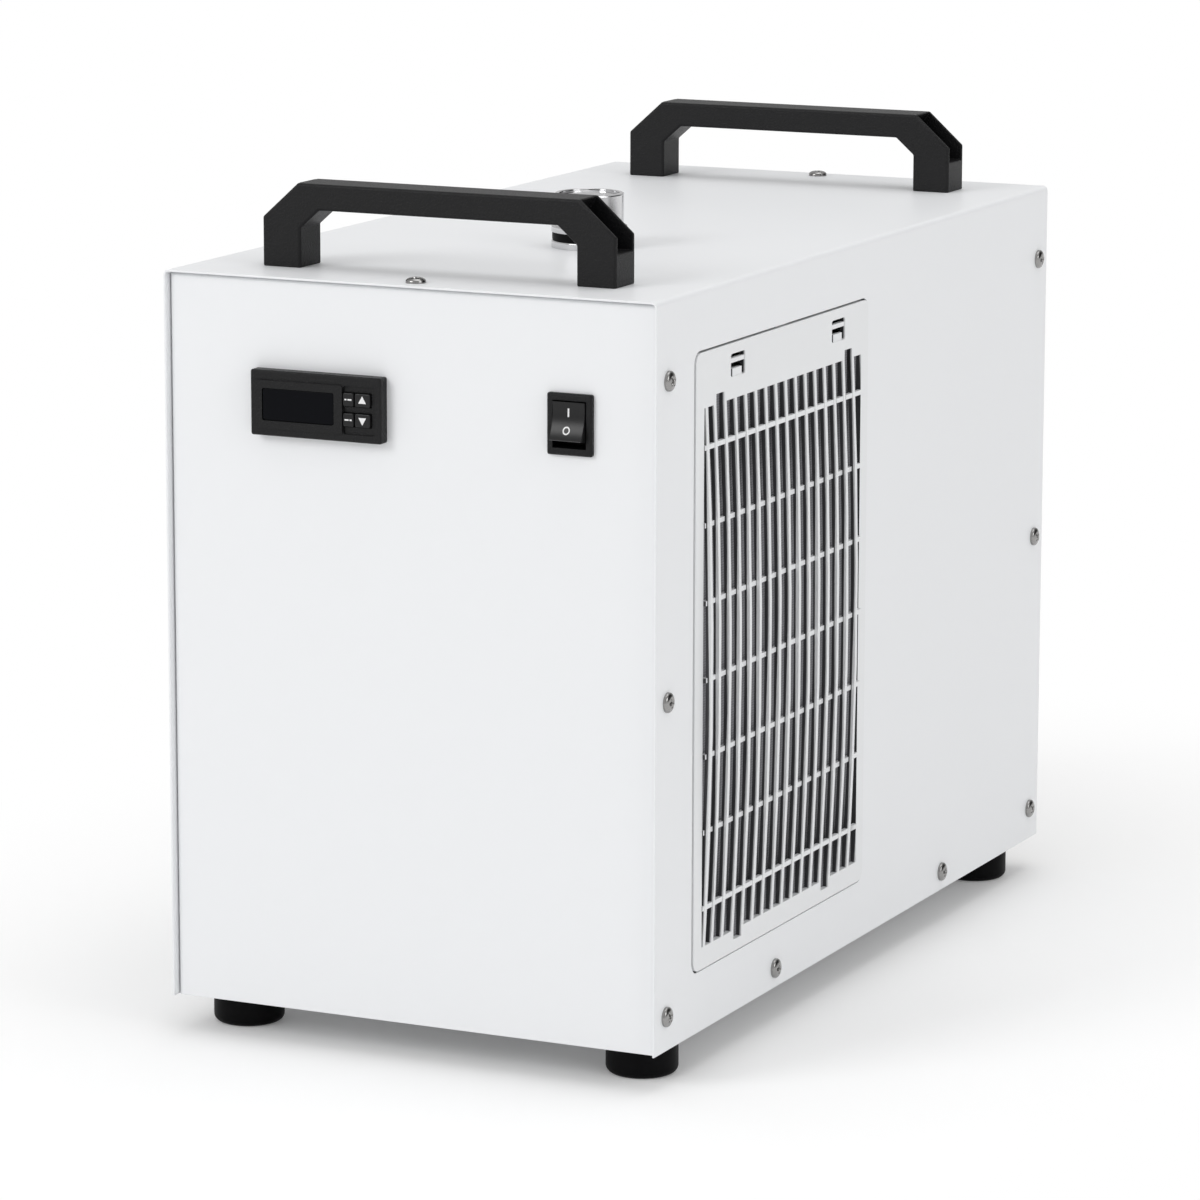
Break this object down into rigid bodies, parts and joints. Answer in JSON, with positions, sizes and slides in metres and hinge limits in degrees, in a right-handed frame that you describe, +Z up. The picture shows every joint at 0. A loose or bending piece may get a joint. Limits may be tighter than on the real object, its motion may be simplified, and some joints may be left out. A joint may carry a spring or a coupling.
{
  "type": "recirculating chiller",
  "caption": "Floor-standing recirculating chiller in a white sheet-metal casing with side filter grilles, bridge handles, a top filler, a digital controller and a rocker switch.",
  "frame": {"origin": "on the floor, under the middle of the whole machine", "axes": "+Z up; the front panel with the controller faces -Y, the fittings and the fan outlet face +Y; +X is to the right seen from the front"},
  "size_m": [0.299, 0.5846, 0.4655],
  "materials": {
    "white_paint": "fine powder coat, satin",
    "galvanised_steel": "galvanised sheet, dull",
    "black_plastic": "spark-textured moulding",
    "black_gloss": "smooth glossy moulding",
    "display_window": "smoked glossy window",
    "key_plastic": "smooth satin moulding",
    "white_plastic": "satin moulding",
    "filter_cloth": "open dark filter cloth",
    "black_rubber": "plain moulded rubber",
    "chrome_trim": "polished plating",
    "screw_steel": "bright zinc plating",
    "brass_fitting": "turned brass",
    "copper_pipe": "drawn copper tube",
    "condenser_metal": "stacked bare fins",
    "black_enamel": "black enamel",
    "fan_plastic": "moulded blades",
    "tank_plastic": "natural translucent moulding",
    "grey_plastic": "fine-grained moulding",
    "sight_glass": "clear sight tube"
  },
  "bodies": {
    "casing": {"alarm_connector": "black_plastic", "base_pan": "galvanised_steel", "compressor": "black_enamel", "compressor_grommets": "black_rubber", "condenser": "condenser_metal", "control_box": "grey_plastic", "controller_housing": "black_plastic", "controller_window": "display_window", "cover": "white_paint", "cover_screws": "screw_steel", "drain_fitting": "brass_fitting", "evaporator_coil": "copper_pipe", "fan_guard": "black_enamel", "fan_motor": "black_enamel", "fan_shroud": "galvanised_steel", "filler_neck": "chrome_trim", "filler_nut": "chrome_trim", "filter_dryer": "copper_pipe", "fitting_nuts": "brass_fitting", "foot_front_left": "black_rubber", "foot_front_right": "black_rubber", "foot_rear_left": "black_rubber", "foot_rear_right": "black_rubber", "foot_screws": "screw_steel", "front_panel": "white_paint", "gauge_tube": "sight_glass", "handle_bolts": "screw_steel", "handle_front": "black_plastic", "handle_rear": "black_plastic", "hose_delivery": "black_rubber", "hose_drain": "black_rubber", "hose_suction": "black_rubber", "hoses_straight": "black_rubber", "inlet_socket": "black_plastic", "level_gauge": "grey_plastic", "pipe_discharge": "copper_pipe", "pipe_liquid": "copper_pipe", "pipe_suction": "copper_pipe", "pump": "black_enamel", "rear_panel": "white_paint", "switch_housing": "black_plastic", "tank": "tank_plastic", "tank_stand": "galvanised_steel", "water_outlet": "brass_fitting", "water_return": "brass_fitting"},
    "filler_lift": {"filler_seal": "black_rubber"},
    "filler_cap": {"filler_cap": "chrome_trim"},
    "drain_lift": {"drain_seal": "black_rubber"},
    "drain_cap": {"drain_cap": "brass_fitting"},
    "rocker": {"rocker": "black_gloss"},
    "key_set": {"key_set": "key_plastic"},
    "key_menu": {"key_menu": "key_plastic"},
    "key_up": {"key_up": "key_plastic"},
    "key_down": {"key_down": "key_plastic"},
    "grille_right": {"grille_right": "white_plastic", "filter_right": "filter_cloth"},
    "grille_left": {"grille_left": "white_plastic", "filter_left": "filter_cloth"},
    "fan": {"fan_rotor": "fan_plastic"},
    "fuse_drawer": {"fuse_drawer": "black_plastic"}
  },
  "joints": [
    {"name": "filler_cap_rise", "type": "slide", "parent": "casing", "child": "filler_lift", "axis": [0, 0, 1], "range_m": [0, 0.0075]},
    {"name": "filler_cap_turn", "type": "hinge", "parent": "filler_lift", "child": "filler_cap", "pos_m": [0.0185, -0.10268, 0.435], "axis": [0, 0, 1], "range_deg": [0, 1080]},
    {"name": "drain_cap_travel", "type": "slide", "parent": "casing", "child": "drain_lift", "axis": [0, 1, 0], "range_m": [0, 0.0045]},
    {"name": "drain_cap_turn", "type": "hinge", "parent": "drain_lift", "child": "drain_cap", "pos_m": [0.08, 0.27632, 0.0532], "axis": [0, 1, 0], "range_deg": [0, 1080]},
    {"name": "rocker_tilt", "type": "hinge", "parent": "casing", "child": "rocker", "pos_m": [0.0947, -0.28068, 0.353], "axis": [1, 0, 0], "range_deg": [0, 26]},
    {"name": "key_set_press", "type": "slide", "parent": "casing", "child": "key_set", "axis": [0, 1, 0], "range_m": [0, 0.0005], "stiffness_N_per_m": 500},
    {"name": "key_menu_press", "type": "slide", "parent": "casing", "child": "key_menu", "axis": [0, 1, 0], "range_m": [0, 0.0005], "stiffness_N_per_m": 500},
    {"name": "key_up_press", "type": "slide", "parent": "casing", "child": "key_up", "axis": [0, 1, 0], "range_m": [0, 0.0005], "stiffness_N_per_m": 500},
    {"name": "key_down_press", "type": "slide", "parent": "casing", "child": "key_down", "axis": [0, 1, 0], "range_m": [0, 0.0005], "stiffness_N_per_m": 500},
    {"name": "grille_right_pull", "type": "slide", "parent": "casing", "child": "grille_right", "axis": [1, 0, 0], "range_m": [0, 0.04]},
    {"name": "grille_left_pull", "type": "slide", "parent": "casing", "child": "grille_left", "axis": [-1, 0, 0], "range_m": [0, 0.04]},
    {"name": "fan_spin", "type": "hinge", "parent": "casing", "child": "fan", "pos_m": [-0.036, 0.26412, 0.1628], "axis": [0, 1, 0], "continuous": true},
    {"name": "fuse_drawer_slide", "type": "slide", "parent": "casing", "child": "fuse_drawer", "axis": [0, 1, 0], "range_m": [0, 0.018]}
  ],
  "couplings": [
    {"joint": "filler_cap_turn", "follows": "filler_cap_rise", "rad_per_m": 2513.3},
    {"joint": "drain_cap_turn", "follows": "drain_cap_travel", "rad_per_m": 4188.8}
  ]
}
